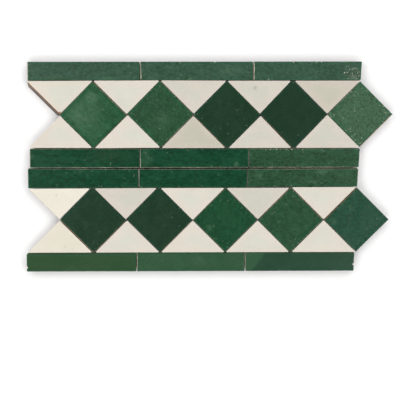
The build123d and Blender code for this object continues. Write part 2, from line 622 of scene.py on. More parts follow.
class GlazeShop:
    """Makes each glaze's material once and hands it out.

    Attributes:
        thin_tone: Tone of a green glaze where it is thin.
        pinhole_tone: Tone of a pinhole.
        ripple_size: Size of the ripples in the glaze.
        grit_size: Size of the grit in the clay.
        relief_depth: Depth of both.
        relief_strength: How much of it shows.
        rough_swing: How much rougher a glaze is where it is thinnest and where it is thickest.
        bare_rough: How much rougher bare clay is.
    """

    thin_tone: Tone = (86, 120, 94)
    pinhole_tone: Tone = (150, 164, 142)
    ripple_size: float = 4.0 * MM
    grit_size: float = 0.8 * MM
    relief_depth: float = 0.12 * MM
    relief_strength: float = 0.35
    rough_swing: tuple[float, float] = (0.04, -0.02)
    bare_rough: float = 0.6

    def __init__(self) -> None:
        """Starts with the shared node groups."""
        self.groups = NodeGroups()
        self.made: dict[Glaze, bpy.types.Material] = {}

    def material(self, glaze: Glaze) -> bpy.types.Material:
        """The material of a glaze, fired when it is first asked for."""
        if glaze not in self.made:
            self.made[glaze] = self.fire(glaze.value)
        return self.made[glaze]

    def fire(self, finish: GlazeFinish) -> bpy.types.Material:
        """Builds a material.

        Args:
            finish: How the glaze looks.

        Returns:
            The material.
        """
        material = bpy.data.materials.new(finish.label)
        material.use_nodes = True
        bench = NodeBench(material.node_tree)
        clouds = bench.group(
            self.groups.clouds, Middle=under_gloss(finish.tone), Edge=under_gloss(finish.edge),
            Fade=finish.fade, Cloud=finish.cloud, Size=finish.size * MM, Streak=finish.streak,
            Turn=math.radians(finish.turn), Grain=finish.grain,
        )
        thin = under_gloss(self.thin_tone)
        glass = bench.group(self.groups.flaws, Color=clouds.outputs["Color"], Thin=thin).outputs["Color"]
        if finish.speckle:
            holes = bench.group(self.groups.pinholes, Amount=finish.speckle).outputs["Mask"]
            share = bench.number("MULTIPLY", holes, min(0.65, 0.3 + 0.1 * finish.speckle))
            glass = bench.blend(share, glass, linear(self.pinhole_tone))
        bare = bench.group(self.groups.bare).outputs["Mask"]
        clay = bench.group(self.groups.clay, Biscuit=linear(finish.biscuit)).outputs["Color"]
        shader = bench.add("ShaderNodeBsdfPrincipled")
        bench.feed(shader.inputs["Base Color"], bench.blend(bare, glass, clay))
        thinnest, thickest = (finish.roughness + swing for swing in self.rough_swing)
        fired = bench.span(clouds.outputs["Thickness"], 0.0, 1.0, thinnest, thickest)
        rough = bench.number("MULTIPLY_ADD", bare, self.bare_rough, fired, clamp=True)
        bench.feed(shader.inputs["Roughness"], rough)
        bench.feed(shader.inputs["Normal"], self.relief(bench, bare))
        out = bench.add("ShaderNodeOutputMaterial")
        bench.feed(out.inputs["Surface"], shader.outputs[0])
        return material

    def relief(self, bench: NodeBench, bare: bpy.types.NodeSocket) -> bpy.types.NodeSocket:
        """Fine ripples of the glaze and the grit of the clay, as a normal.

        Args:
            bench: The material's bench.
            bare: Mask of where the clay shows.

        Returns:
            The normal's socket.
        """
        ripple = bench.noise(bench.place(), self.ripple_size, 3.0)
        grain = bench.noise(bench.place(), self.grit_size, 2.0)
        gritty = bench.number("MULTIPLY_ADD", bare, 0.9, 0.15)
        height = bench.number("MULTIPLY_ADD", grain, gritty, bench.number("MULTIPLY", ripple, 0.8))
        height = bench.number("MULTIPLY_ADD", bare, -0.8, height)
        bump = bench.add("ShaderNodeBump")
        bump.inputs["Strength"].default_value = self.relief_strength
        bump.inputs["Distance"].default_value = self.relief_depth
        bench.feed(bump.inputs["Height"], height)
        return bump.outputs[0]


class Flaw(Enum):
    """What has happened to a spot on a tile, or a painted reflection on it. The value is the name of its
    attribute.
    """

    CHIP = "chip"
    SOIL = "soil"
    THIN = "thin"
    POOL = "pool"
    IRON = "iron"
    # A painted reflection on the glaze.
    WASH = "wash"
    PITS = "pits"


@dataclass(frozen=True)
class Mark:
    """A flaw at a place on a tile.

    Attributes:
        flaw: What it is.
        along: Place along the border from the middle of the tile, in millimetres.
        across: Place across the border from the middle of the tile, in millimetres.
        reach: How far it spreads, in millimetres.
        depth: How deep it is, in millimetres.
        drawn: How many times longer it is along the border than across.
        soft: Share of its reach over which it fades out.
        strength: How much of it shows, 0 to 1.
    """

    flaw: Flaw
    along: float
    across: float
    reach: float
    depth: float = 0.0
    drawn: float = 1.0
    soft: float = 0.7
    strength: float = 1.0


def nicks(
    places: tuple[float, ...], across: float, reach: float = 0.9, depth: float = 0.5, strength: float = 0.75
) -> tuple[Mark, ...]:
    """A row of small chips at places along the border and one place across it, as in a mark."""
    return tuple(Mark(Flaw.CHIP, along, across, reach, depth, strength=strength) for along in places)


# How far down a side its rings of points lie, as shares of its height
SIDE_RINGS = (0.05, 0.12, 0.22, 0.34, 0.5, 0.66, 0.83, 1.0)
# How exactly a tile is cut, and the angle up to which its surface is shaded smooth
CUT_TOLERANCE = 1e-6
SMOOTH_ANGLE = math.radians(50)
# Size of the waves of a face, and sizes and shares of the noises that let a cut edge wander
WAVE_SIZE = 26 * MM
BITE_SIZES = ((9 * MM, 1.0), (2.2 * MM, 0.6))
# How far in the waves of a face start and grow to the full, and how far in an edge wanders, in millimetres
WAVE_START, WAVE_GROWTH, BITE_REACH = 0.3, 4.0, 1.6
# Height above the back over which the wandering of an edge grows, and the least and most of a face's slope
BACK_FADE = 2 * MM
SLOPE_SHARES = (0.2, 1.0)
# How deep an edge is worn, over what distance that fades, and how far it sinks as it moves in
RUB_DEPTH = 2.5 * MM
RUB_FADE = 1.5 * MM
RUB_DROP = 0.4
# The same for a chip
CHIP_DEPTH = 5 * MM
CHIP_FADE = 4 * MM
CHIP_DROP = 0.7
# A mark's ragged outline: size of its bays, their share of its reach, and the reach past which that shrinks
RAGGED_SIZE = 2.5 * MM
RAGGED_SHARE = 0.3
RAGGED_REACH = 4.0
# How many times its reach a mark may spread
MARK_LIMIT = 1.5
# Depths in millimetres between which a strip's side swells, and how far it has swollen there
SWELL_DEPTHS = (0.9, 2.9, 4.4, 8.0)
SWELL_SHARES = (0.0, 1.0, 1.0, 0.0)
# How far a square's point may stand past its solid in millimetres: between squares, and in the left notch
POINT_ROOM = 0.45
NOTCH_ROOM = 2.0
# How far in from a splayed side its points lean out with it
SPLAY_REACH = 4 * MM


@dataclass
class Tile:
    """One hand-cut tile, which stands for the CAD node of its name.

    Attributes:
        node: The CAD node.
        glaze: Its glaze.
        bared: How far in from each side the clay shows, in millimetres.
        marks: Flaws on it.
        pitch: Spacing of its mesh, in metres.
        proud: How far each side stands past its solid's where it starts, in millimetres, or short below 0.
        lean: How much farther each side stands where it ends.
        free: Numbers of the sides that do not stand in a joint, from 0.
        arris: Radius of the rounded glaze edge.
        undercut: How far the sides lean in by the back.
        waves: How far the face dips in gentle waves.
        settle: How far the face slopes from one end to the other.
        bite: How far the cut edges wander.
        rub: How far a side is worn back, for each millimetre of clay that shows.
    """

    node: str
    glaze: Glaze
    bared: tuple[float, ...]
    marks: tuple[Mark, ...] = ()
    pitch: float = 0.95 * MM
    proud: tuple[float, ...] = ()
    lean: tuple[float, ...] = ()
    free: tuple[int, ...] = ()
    arris: float = 0.4 * MM
    undercut: float = 1.5 * MM
    waves: float = 0.3 * MM
    settle: float = 0.25 * MM
    bite: float = 0.12 * MM
    rub: float = 0.4

    def corners(self) -> list[Vector]:
        """Corners of the solid's outline, anticlockwise, before they are nipped."""
        raise NotImplementedError

    def heart(self) -> Vector:
        """The point that the outline grows and shrinks about."""
        raise NotImplementedError

    def growth(self, start: float, end: float) -> tuple[float, float]:
        """Scales along X and Y that move the outline's sides from one offset to another."""
        raise NotImplementedError

    def lay_grid(self) -> None:
        """Adds the flat grid that the face is cut from, and goes into edit mode."""
        raise NotImplementedError

    def lay_turned_grid(self, place: Vector, side: float) -> None:
        """Adds a square grid on its corner and goes into edit mode.

        Args:
            place: Its middle.
            side: Its side.
        """
        count = round(side / self.pitch)
        bpy.ops.mesh.primitive_grid_add(
            x_subdivisions=count, y_subdivisions=count, size=side, location=(*place, TOP),
            rotation=(0.0, 0.0, math.pi / 4),
        )
        bpy.ops.object.transform_apply(location=True, rotation=True, scale=True)
        bpy.ops.object.mode_set(mode="EDIT")

    def build(self, shop: GlazeShop) -> bpy.types.Object:
        """Models and dresses the tile.

        Args:
            shop: Where its glaze comes from.

        Returns:
            The finished piece.
        """
        bpy.ops.object.select_all(action="DESELECT")
        self.lay_grid()
        self.nip_corners()
        self.draw_sides()
        bpy.ops.object.mode_set(mode="OBJECT")
        piece = bpy.context.active_object
        piece.name = f"{self.node}_tile"
        piece.data.name = piece.name
        self.stand_proud(piece)
        self.measure(piece)
        self.work_by_hand(piece)
        self.wear_down(piece)
        bpy.ops.object.shade_smooth_by_angle(angle=SMOOTH_ANGLE)
        piece.data.materials.append(shop.material(self.glaze))
        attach(piece, "root")
        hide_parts(self.node)
        return piece

    @staticmethod
    def sides_of(corners: list[Vector]) -> list[tuple[Vector, Vector]]:
        """The corner of an outline where each side starts, and the direction in from that side."""
        found = []
        for corner, following in zip(corners, corners[1:] + corners[:1]):
            along = (following - corner).normalized()
            found.append((corner, Vector((-along.y, along.x))))
        return found

    def sides(self) -> list[tuple[Vector, Vector]]:
        """A corner on each side where it stands, and the direction in from that side."""
        return self.sides_of(self.stood_corners())

    def stood_corners(self) -> list[Vector]:
        """Corners of the outline with its sides where they stand."""
        corners = self.corners()
        following = corners[1:] + corners[:1]
        level = (0.0,) * len(corners)
        stands = zip(self.proud or level, self.lean or level)
        lines = []
        for (corner, inward), end, (proud, lean) in zip(self.sides_of(corners), following, stands):
            lines.append((corner - inward * proud * MM, end - inward * (proud + lean) * MM))
        stood = []
        for (before_start, before_end), (start, end) in zip(lines[-1:] + lines[:-1], lines):
            before, along = before_end - before_start, end - start
            reach = (start - before_start).cross(along) / before.cross(along)
            stood.append(before_start + before * reach)
        return stood

    def corner_shares(self, points: np.ndarray) -> np.ndarray:
        """How much each corner of a rectangle counts at each point, one row for each corner."""
        first, second, _, last = (np.array(corner) for corner in self.corners())
        along, across = second - first, last - first
        offset = points[:, :2] - first
        u = offset @ along / (along @ along)
        v = offset @ across / (across @ across)
        return np.stack(((1 - u) * (1 - v), u * (1 - v), u * v, (1 - u) * v))

    @staticmethod
    def insets_from(sides: list[tuple[Vector, Vector]], points: np.ndarray) -> np.ndarray:
        """How far each point lies in from each side, one row for each side."""
        return np.stack([(points[:, :2] - np.array(corner)) @ np.array(inward) for corner, inward in sides])

    def insets(self, points: np.ndarray) -> np.ndarray:
        """How far each point lies in from each side where it stands, one row for each side."""
        return self.insets_from(self.sides(), points)

    def nips(self) -> tuple[float, ...]:
        """Width of the cut across each corner."""
        return (NIP,) * len(self.corners())

    def nip_corners(self) -> None:
        """Cuts every corner of the grid off."""
        corners = self.corners()
        for k, (corner, nip) in enumerate(zip(corners, self.nips())):
            before = (corners[k - 1] - corner).normalized()
            after = (corners[(k + 1) % len(corners)] - corner).normalized()
            inward = (before + after).normalized()
            half = 0.5 * before.angle(after)
            cut = corner + inward * (0.5 * nip / math.tan(half))
            self.cut_off(cut, -inward)

    @staticmethod
    def cut_off(place: Vector, outward: Vector) -> None:
        """Cuts the grid along an upright plane through a place and drops what lies outward of it."""
        bpy.ops.mesh.select_all(action="SELECT")
        bpy.ops.mesh.bisect(
            plane_co=(*place, TOP), plane_no=(*outward, 0.0), clear_outer=True, threshold=CUT_TOLERANCE
        )

    def draw_sides(self) -> None:
        """Rounds the edge over, draws the sides down and closes the back."""
        eighth = self.arris * (1 - math.sqrt(0.5))
        rings = [(-eighth, -eighth), (0.0, -self.arris)]
        for share in SIDE_RINGS:
            rings.append((-self.undercut * share, -self.arris - (TOP - self.arris) * share))
        bpy.ops.mesh.select_all(action="SELECT")
        self.resize(0.0, -self.arris)
        bpy.ops.mesh.select_mode(type="EDGE")
        bpy.ops.mesh.select_all(action="DESELECT")
        bpy.ops.mesh.select_non_manifold(
            extend=False, use_wire=False, use_multi_face=False, use_non_contiguous=False, use_verts=False
        )
        offset, height = -self.arris, 0.0
        for next_offset, next_height in rings:
            drop = (0.0, 0.0, next_height - height)
            bpy.ops.mesh.extrude_edges_move(TRANSFORM_OT_translate={"value": drop})
            self.resize(offset, next_offset)
            offset, height = next_offset, next_height
        bpy.ops.mesh.edge_face_add()
        bpy.ops.mesh.select_all(action="SELECT")
        bpy.ops.mesh.normals_make_consistent(inside=False)

    def resize(self, start: float, end: float) -> None:
        """Moves the selected outline's sides from one offset to another."""
        across, along = self.growth(start, end)
        bpy.ops.transform.resize(value=(across, along, 1.0), center_override=(*self.heart(), TOP))

    def stand_proud(self, piece: bpy.types.Object) -> None:
        """Stretches the tile so that each side moves from its solid's to where it stands.

        Args:
            piece: The tile.
        """
        points = self.points(piece)
        stood = np.array([tuple(corner) for corner in self.stood_corners()])
        points[:, :2] = self.corner_shares(points).T @ stood
        self.move_points(piece, points)

    def measure(self, piece: bpy.types.Object) -> None:
        """Stores how far in from the edge each point lies, below 0 down the side, and how that side is.

        Args:
            piece: The tile.
        """
        points = self.points(piece)
        insets = self.insets(points)
        depth = TOP - points[:, 2]
        below = depth > self.arris + CUT_TOLERANCE
        rim = np.where(below, self.arris - depth, np.maximum(insets.min(axis=0), 0.0))
        self.store(piece, "rim", rim / MM)
        nearest = insets.argmin(axis=0)
        self.store(piece, "bared", np.array(self.bared)[nearest])
        self.store(piece, "joint", 1.0 - np.isin(nearest, self.free))

    @staticmethod
    def points(piece: bpy.types.Object) -> np.ndarray:
        """Places of a piece's points, one row each."""
        flat = np.zeros(3 * len(piece.data.vertices), np.float32)
        piece.data.vertices.foreach_get("co", flat)
        return flat.reshape(-1, 3).astype(float)

    @staticmethod
    def move_points(piece: bpy.types.Object, points: np.ndarray) -> None:
        """Puts a piece's points at new places."""
        piece.data.vertices.foreach_set("co", points.astype(np.float32).ravel())
        piece.data.update()

    @staticmethod
    def store(piece: bpy.types.Object, name: str, values: np.ndarray) -> None:
        """Stores a number for each point of a piece, for its material to read."""
        layer = piece.data.attributes.new(name, "FLOAT", "POINT")
        layer.data.foreach_set("value", values.astype(np.float32))

    def work_by_hand(self, piece: bpy.types.Object) -> None:
        """Gives the face its waves and slope, and lets the cut edges wander.

        Args:
            piece: The tile.
        """
        rim = np.zeros(len(piece.data.vertices), np.float32)
        piece.data.attributes["rim"].data.foreach_get("value", rim)
        raised = np.clip(self.points(piece)[:, 2] / BACK_FADE, 0.0, 1.0)
        self.weigh(piece, "face", np.clip((rim - WAVE_START) / WAVE_GROWTH, 0.0, 1.0))
        self.weigh(piece, "edge", np.clip(BITE_REACH - rim, 0.0, 1.0) * raised)
        self.displace(piece, "face", WAVE_SIZE, self.waves, "Z")
        for size, share in BITE_SIZES:
            self.displace(piece, "edge", size, self.bite * share, "NORMAL")
        self.rub_edges(piece)
        self.slope(piece)

    def rub_edges(self, piece: bpy.types.Object) -> None:
        """Wears the upper part of each side back where its clay shows.

        Args:
            piece: The tile.
        """
        points = self.points(piece)
        insets = self.insets(points)
        nearest = insets.argmin(axis=0)
        inward = np.array([side[1] for side in self.sides()])[nearest]
        near = np.clip(1.0 - insets.min(axis=0) / RUB_FADE, 0.0, 1.0)
        upper = np.clip((points[:, 2] - (TOP - RUB_DEPTH)) / RUB_FADE, 0.0, 1.0)
        press = self.rub * MM * np.array(self.bared)[nearest] * near * upper
        points[:, :2] += press[:, None] * inward
        points[:, 2] -= RUB_DROP * press
        self.move_points(piece, points)

    @staticmethod
    def weigh(piece: bpy.types.Object, name: str, weights: np.ndarray) -> None:
        """Makes a vertex group from a weight for each point, 0 to 1."""
        group = piece.vertex_groups.new(name=name)
        for index in np.flatnonzero(weights):
            group.add([int(index)], float(weights[index]), "REPLACE")

    @staticmethod
    def displace(piece: bpy.types.Object, group: str, size: float, reach: float, direction: str) -> None:
        """Presses part of a tile in by cloudy noise, never out.

        Args:
            piece: The tile.
            group: The vertex group to press.
            size: Size of the noise, in metres.
            reach: The deepest press, in metres.
            direction: Blender's name of the direction.
        """
        name = f"{group} waves {size / MM:.1f}"
        clouds = bpy.data.textures.get(name) or bpy.data.textures.new(name, type="CLOUDS")
        clouds.noise_scale = size
        clouds.noise_depth = 2
        press = piece.modifiers.new(name, "DISPLACE")
        press.texture = clouds
        press.texture_coords = "LOCAL"
        press.vertex_group = group
        press.direction = direction
        press.mid_level = 1.0
        press.strength = reach
        bpy.ops.object.modifier_apply(modifier=name)

    def slope(self, piece: bpy.types.Object) -> None:
        """Lets the face slope a little, as no two hand-made tiles are equally thick, with the back flat.

        Args:
            piece: The tile.
        """
        points = self.points(piece)
        draw = random.Random(self.node)
        turn = draw.uniform(0.0, 2.0 * math.pi)
        along = points[:, 0] * math.cos(turn) + points[:, 1] * math.sin(turn)
        share = (along - along.min()) / (along.max() - along.min())
        drop = self.settle * draw.uniform(*SLOPE_SHARES) * share
        points[:, 2] -= drop * np.clip(points[:, 2] / TOP, 0.0, 1.0)
        self.move_points(piece, points)

    def wear_down(self, piece: bpy.types.Object) -> None:
        """Knocks the chips out and stores where each kind of flaw is.

        Args:
            piece: The tile.
        """
        points = self.points(piece)
        low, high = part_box(self.node)
        middle = ((low + high) / 2).to_2d()
        layers: dict[Flaw, np.ndarray] = {}
        for mark in self.marks:
            spot = middle + Vector((mark.along, mark.across)) * MM
            share = self.spread(points, spot, mark)
            layers[mark.flaw] = np.maximum(layers.get(mark.flaw, 0.0), share)
            if mark.depth:
                upper = np.clip((points[:, 2] - (TOP - CHIP_DEPTH)) / CHIP_FADE, 0.0, 1.0)
                press = mark.depth * MM * share * upper
                points[:, 2] -= CHIP_DROP * press
                points[:, :2] += press[:, None] * np.array(self.inward(spot))
        self.move_points(piece, points)
        for flaw, share in layers.items():
            self.store(piece, flaw.value, share)

    @staticmethod
    def spread(points: np.ndarray, spot: Vector, mark: Mark) -> np.ndarray:
        """How much of a mark each point has, with a ragged outline.

        Args:
            points: Places of the points.
            spot: Middle of the mark.
            mark: The mark.

        Returns:
            A share for each point, 0 to 1.
        """
        offset = (points[:, :2] - np.array(spot)) / (mark.reach * MM)
        away = np.hypot(offset[:, 0] / mark.drawn, offset[:, 1])
        wander = RAGGED_SHARE * min(1.0, RAGGED_REACH / mark.reach)
        share = np.zeros(len(points))
        for index in np.flatnonzero(away < MARK_LIMIT):
            ragged = wander * noise.noise(Vector(points[index]) / RAGGED_SIZE)
            share[index] = (1.0 - away[index] + ragged) / mark.soft
        return mark.strength * np.clip(share, 0.0, 1.0)

    def inward(self, spot: Vector) -> Vector:
        """The direction in from the side that lies nearest to a spot."""
        return min(self.sides(), key=lambda side: (spot - side[0]).dot(side[1]))[1]


@dataclass
class Strip(Tile):
    """A long narrow tile of a head or foot row. Its sides are the lower, right, upper and left.

    Attributes:
        band_side: Number of the side that faces the band.
        belly: How far a long side swells into a joint below its edge.
    """

    band_side: int = 0
    belly: float = 0.3 * MM

    def stand_proud(self, piece: bpy.types.Object) -> None:
        """Moves the sides to where they stand, and lets those in a joint swell below the edge.

        The side away from the band swells past its solid, so that it closes the joint between the courses.

        Args:
            piece: The tile.
        """
        super().stand_proud(piece)
        points = self.points(piece)
        solid, away = self.sides_of(self.corners()), 2 - self.band_side
        insets = self.insets(points)
        nearest = insets.argmin(axis=0)
        inward = np.array([side[1] for side in solid])[nearest]
        insets[away] = self.insets_from(solid, points)[away]
        insets[[0, 2]] += self.belly
        inset = np.take_along_axis(insets, nearest[None], axis=0)[0]
        depth = (TOP - points[:, 2]) / MM
        swell = np.interp(depth, SWELL_DEPTHS, SWELL_SHARES)
        reach = np.where(np.isin(nearest, self.free), 0.0, np.maximum(inset, 0.0))
        points[:, :2] -= (swell * reach)[:, None] * inward
        self.move_points(piece, points)

    def corners(self) -> list[Vector]:
        """Corners of the strip's box."""
        low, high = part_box(self.node)
        places = ((low.x, low.y), (high.x, low.y), (high.x, high.y), (low.x, high.y))
        return [Vector(place) for place in places]

    def heart(self) -> Vector:
        """Middle of the strip."""
        corners = self.corners()
        return (corners[0] + corners[2]) / 2

    def growth(self, start: float, end: float) -> tuple[float, float]:
        """Scales for a rectangle, one for each direction."""
        reach = (self.corners()[2] - self.corners()[0]) / 2
        return (reach.x + end) / (reach.x + start), (reach.y + end) / (reach.y + start)

    def lay_grid(self) -> None:
        """A grid as long and wide as the strip."""
        size = self.corners()[2] - self.corners()[0]
        counts = [max(2, round(length / self.pitch)) for length in size]
        bpy.ops.mesh.primitive_grid_add(
            x_subdivisions=counts[0], y_subdivisions=counts[1], size=1.0, location=(*self.heart(), TOP)
        )
        bpy.context.active_object.scale = (size.x, size.y, 1.0)
        bpy.ops.object.transform_apply(location=True, rotation=True, scale=True)
        bpy.ops.object.mode_set(mode="EDIT")


@dataclass
class Square(Tile):
    """A square tile on its corner. Its sides are the lower right, upper right, upper left and lower left.

    Attributes:
        rooms: How far its lowest, right, highest and left points may stand past the solid, in millimetres.
    """

    rooms: tuple[float, ...] = (POINT_ROOM,) * 4

    def reach(self) -> float:
        """Distance from the middle to a corner before it is nipped."""
        low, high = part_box(self.node)
        return (high.x - low.x) / 2 + NIP / 2

    def nips(self) -> tuple[float, ...]:
        """The points are cut where the strips and the next squares stop the sides that stand proud."""
        level = (0.0,) * 4
        starts = np.array(self.proud or level)
        ends = starts + np.array(self.lean or level)
        cuts = (math.sqrt(2.0) * (starts + np.roll(ends, 1)) - 2 * np.array(self.rooms)) * MM
        cuts[[1, 3]] += NIP
        return tuple(np.maximum(cuts, POINT_NIP))

    def heart(self) -> Vector:
        """Middle of the square."""
        low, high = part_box(self.node)
        return ((low + high) / 2).to_2d()

    def corners(self) -> list[Vector]:
        """The lowest corner first."""
        heart, reach = self.heart(), self.reach()
        return [heart + reach * Vector(way) for way in ((0, -1), (1, 0), (0, 1), (-1, 0))]

    def growth(self, start: float, end: float) -> tuple[float, float]:
        """One scale, from the circle that fits inside the square."""
        inner = self.reach() * math.sqrt(0.5)
        scale = (inner + end) / (inner + start)
        return scale, scale

    def lay_grid(self) -> None:
        """A square grid turned onto its corner."""
        self.lay_turned_grid(self.heart(), self.reach() * math.sqrt(2.0))


@dataclass
class HalfSquare(Tile):
    """A triangle: a square tile cut on its diagonal.

    Its sides are the right, long and left where it points down, or the long, right and left.

    Attributes:
        points_down: Whether its point is below its long side.
        sized_as: A node of the same size, for a tile whose own box is not its outline.
        splay: How far its free left side leans out at the back.
    """

    points_down: bool = True
    sized_as: str = ""
    splay: float = 0.0

    def reach(self) -> float:
        """Half of the long side, before the corners are nipped."""
        low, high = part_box(self.sized_as or self.node)
        tip = NIP / (2 * math.sin(math.pi / 8)) * math.sqrt(0.5)
        return (high.x - low.x) / 2 + tip

    def nips(self) -> tuple[float, ...]:
        """The two sharp corners are cut wider than the point."""
        return (NIP, SHARP_NIP, SHARP_NIP) if self.points_down else (SHARP_NIP, SHARP_NIP, NIP)

    def base(self) -> Vector:
        """Middle of the long side."""
        low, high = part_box(self.node)
        sized_low, sized_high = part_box(self.sized_as or self.node)
        x = high.x - (sized_high.x - sized_low.x) / 2
        return Vector((x, high.y if self.points_down else low.y))

    def corners(self) -> list[Vector]:
        """The point first where it is below, or last where it is above."""
        base, reach = self.base(), self.reach()
        left, right = base - Vector((reach, 0)), base + Vector((reach, 0))
        if self.points_down:
            return [base - Vector((0, reach)), right, left]
        return [left, right, base + Vector((0, reach))]

    def corner_shares(self, points: np.ndarray) -> np.ndarray:
        """How much each corner of the triangle counts at each point, one row for each corner."""
        corners = np.array([(*corner, 1.0) for corner in self.corners()])
        return np.linalg.solve(corners.T, np.vstack((points[:, :2].T, np.ones(len(points)))))

    def inner(self) -> float:
        """Radius of the circle that fits inside the triangle."""
        return self.reach() * (math.sqrt(2.0) - 1.0)

    def heart(self) -> Vector:
        """Middle of the circle that fits inside the triangle."""
        up = -1 if self.points_down else 1
        return self.base() + Vector((0, up * self.inner()))

    def growth(self, start: float, end: float) -> tuple[float, float]:
        """One scale, from the circle that fits inside the triangle."""
        scale = (self.inner() + end) / (self.inner() + start)
        return scale, scale

    def lay_grid(self) -> None:
        """A square grid on its corner, cut along its diagonal."""
        self.lay_turned_grid(self.base(), self.reach() * math.sqrt(2.0))
        self.cut_off(self.base(), Vector((0.0, 1.0 if self.points_down else -1.0)))

    def work_by_hand(self, piece: bpy.types.Object) -> None:
        """Leans the free side out where it is splayed, then works the tile as any other.

        Args:
            piece: The tile.
        """
        if self.splay:
            points = self.points(piece)
            left, inward = self.sides()[2]
            inset = (points[:, :2] - np.array(left)) @ np.array(inward)
            depth = np.clip((TOP - points[:, 2] - self.arris) / (TOP - self.arris), 0.0, 1.0)
            push = np.where(inset < SPLAY_REACH, (self.splay + self.undercut) * depth, 0.0)
            points[:, :2] -= push[:, None] * np.array(inward)
            self.move_points(piece, points)
        super().work_by_hand(piece)


@dataclass
class Course:
    """One border course: a head row and a foot row of strips, and the band between them.

    Attributes:
        name: The course's name in the CAD nodes.
        outer: Number of the side of its outer strips that faces out of the panel, 0 or 2.
        head: Glazes of the head strips, left to right.
        foot: Glazes of the foot strips.
        squares: Glazes of the squares.
        head_triangles: Glazes of the triangles that hang from the head row.
        foot_triangles: Glazes of the triangles that stand on the foot row.
        bared: How far the clay shows along the sides of the named tiles.
        marks: Flaws, by the tile's name.
        proud: How far the sides of the named tiles stand past their solids, in millimetres.
        lean: How much farther those sides stand where they end.
        foot_room: How far the lowest points of the squares may stand past their solids, in millimetres.
        head_rooms: How far the highest point of each square may.
        fill: How far the band's sloping sides stand past their solids, to close its joints.
        seats: How far a triangle's long side stands past its solid at left and right, by triangle or row.
        splay: How far the first head triangle's free side leans out.
    """

    name: str
    outer: int
    head: tuple[Glaze, ...]
    foot: tuple[Glaze, ...]
    squares: tuple[Glaze, ...]
    head_triangles: tuple[Glaze, ...]
    foot_triangles: tuple[Glaze, ...]
    bared: dict[str, tuple[float, ...]] = field(default_factory=dict)
    marks: dict[str, tuple[Mark, ...]] = field(default_factory=dict)
    proud: dict[str, tuple[float, ...]] = field(default_factory=dict)
    lean: dict[str, tuple[float, ...]] = field(default_factory=dict)
    foot_room: float = POINT_ROOM
    head_rooms: tuple[float, ...] = (POINT_ROOM,) * 5
    fill: float = 0.0
    seats: dict[str, tuple[float, float]] = field(default_factory=dict)
    splay: float = 0.0

    def tiles(self) -> list[Tile]:
        """The course's tiles, ready to build."""
        made: list[Tile] = []
        for row, side, glazes in (("head", 2, self.head), ("foot", 0, self.foot)):
            for number, glaze in enumerate(glazes, 1):
                told = self.common(f"{row}_strip_{number}", glaze, 4)
                ends = {1: (3,), len(glazes): (1,)}.get(number, ())
                told["free"] = (*ends, side) if side == self.outer else ends
                told["band_side"] = 2 - side
                made.append(Strip(**told))
        for number, (glaze, head_room) in enumerate(zip(self.squares, self.head_rooms), 1):
            part = f"square_{number}"
            told = self.common(part, glaze, 4)
            told["proud"] = tuple(self.fill + stand for stand in self.proud[part])
            left_room = NOTCH_ROOM if number == 1 else POINT_ROOM
            told["rooms"] = (self.foot_room, POINT_ROOM, head_room, left_room)
            told["free"] = (0, 1) if number == len(self.squares) else ()
            made.append(Square(**told))
        for row, glazes in (("head", self.head_triangles), ("foot", self.foot_triangles)):
            for number, glaze in enumerate(glazes, 1):
                made.append(self.triangle(row, number, glaze))
        return made

    def common(self, part: str, glaze: Glaze, sides: int) -> dict[str, object]:
        """What every kind of tile is told.

        Args:
            part: The tile's name within the course.
            glaze: Its glaze.
            sides: How many sides it has.

        Returns:
            Values by field name.
        """
        return {
            "node": f"{self.name}_{part}",
            "glaze": glaze,
            "bared": self.bared.get(part, (0.0,) * sides),
            "marks": self.marks.get(part, ()),
            "proud": self.proud.get(part, ()),
            "lean": self.lean.get(part, ()),
        }

    def against(self, number: int, side: int) -> tuple[float, float]:
        """How a triangle's side stands that lies against a square's, or free where there is no such square.

        Args:
            number: The square's place from the left.
            side: Number of the square's side.

        Returns:
            How far it stands past its solid where it starts, and how much farther where it ends.
        """
        level = (0.0,) * 4
        proud = self.proud.get(f"square_{number}", level)[side]
        lean = self.lean.get(f"square_{number}", level)[side]
        return self.fill - proud - lean, lean

    def triangle(self, row: str, number: int, glaze: Glaze) -> HalfSquare:
        """One triangle of the band.

        Args:
            row: Whether it hangs from the head row or stands on the foot row.
            number: Its place from the left.
            glaze: Its glaze.

        Returns:
            The tile.
        """
        part = f"{row}_triangle_{number}"
        told = self.common(part, glaze, 3)
        told["free"] = (2,) if number == 1 else ()
        told["points_down"] = row == "head"
        left, right = self.seats.get(part, self.seats[row])
        if row == "head":
            sides = (self.against(number, 2), (right, left - right), self.against(number - 1, 1))
        else:
            sides = ((left, right - left), self.against(number, 3), self.against(number - 1, 0))
        told["proud"], told["lean"] = zip(*sides)
        if self.splay and row == "head" and number == 1:
            told["splay"] = self.splay
            told["sized_as"] = f"{self.name}_head_triangle_2"
        return HalfSquare(**told)


